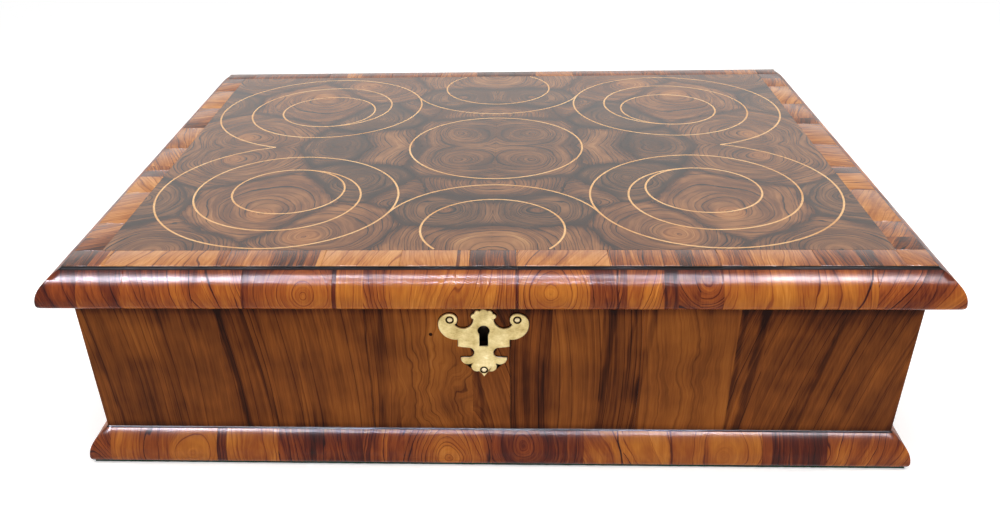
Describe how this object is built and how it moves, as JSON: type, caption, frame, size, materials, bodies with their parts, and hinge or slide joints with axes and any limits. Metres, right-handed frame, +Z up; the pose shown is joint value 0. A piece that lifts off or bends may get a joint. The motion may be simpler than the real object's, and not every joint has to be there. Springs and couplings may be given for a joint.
{
  "type": "veneered box with hinged lid",
  "caption": "Low rectangular wooden box with a hinged lid, oyster veneers, ring and spiral stringing, cushion mouldings and a shaped brass escutcheon.",
  "frame": {"origin": "middle of the carcase's footprint, on the face that it stands on", "axes": "+X to the right along the front, the front faces -Y, +Z up"},
  "size_m": [0.53, 0.4111, 0.1385],
  "materials": {
    "pine": "planed, aged",
    "case_veneer": "French-polished straight-grained olivewood",
    "rim_facing": "waxed",
    "base_moulding": "polished cross-grained olivewood",
    "lid_moulding": "polished cross-grained olivewood",
    "oyster_veneer": "polished oyster-cut olivewood",
    "crossbanding": "polished cross-grained olivewood",
    "boxwood": "polished",
    "baize": "napped",
    "lining_paper": "matt, aged",
    "escutcheon_brass": "worn, softly polished",
    "hinge_brass": "aged",
    "iron": "blackened wrought iron"
  },
  "bodies": {
    "case": {"bottom_board_front": "pine", "bottom_board_back": "pine", "front_board": "pine", "back_board": "pine", "left_board": "pine", "right_board": "pine", "front_veneer": "case_veneer", "left_veneer": "case_veneer", "right_veneer": "case_veneer", "rim_facing_front": "rim_facing", "rim_facing_back": "rim_facing", "rim_facing_left": "rim_facing", "rim_facing_right": "rim_facing", "base_moulding_front": "base_moulding", "base_moulding_left": "base_moulding", "base_moulding_right": "base_moulding", "baize": "baize", "bottom_nails": "iron", "lining_floor": "lining_paper", "lining_walls": "lining_paper", "escutcheon": "escutcheon_brass", "escutcheon_pins": "escutcheon_brass", "lock_plate": "iron", "lock_guides": "iron", "lock_drill_pin": "iron", "lock_spring": "iron", "lock_screws": "iron", "hinge_leaf_case_left": "hinge_brass", "hinge_leaf_case_right": "hinge_brass", "hinge_pins": "hinge_brass", "hinge_screws_case": "hinge_brass"},
    "lid": {"lining_lid": "lining_paper", "link_plate": "iron", "link_tongues": "iron", "link_screws": "iron", "hinge_leaf_lid_left": "hinge_brass", "hinge_leaf_lid_right": "hinge_brass", "hinge_screws_lid": "hinge_brass", "lid_board_front": "pine", "lid_board_back": "pine", "oysters_front_left": "oyster_veneer", "oysters_front_right": "oyster_veneer", "oysters_back_left": "oyster_veneer", "oysters_back_right": "oyster_veneer", "crossband_front": "crossbanding", "crossband_back": "crossbanding", "crossband_left": "crossbanding", "crossband_right": "crossbanding", "stringing": "boxwood", "lid_moulding_front": "lid_moulding", "lid_moulding_left": "lid_moulding", "lid_moulding_right": "lid_moulding"},
    "bolt": {"lock_bolt": "iron"}
  },
  "joints": [
    {"name": "lid_hinge", "type": "hinge", "parent": "case", "child": "lid", "pos_m": [0, 0.19825, 0.11735], "axis": [-1, 0, 0], "range_deg": [0, 102]},
    {"name": "bolt_slide", "type": "slide", "parent": "case", "child": "bolt", "axis": [1, 0, 0], "range_m": [0, 0.007]}
  ]
}
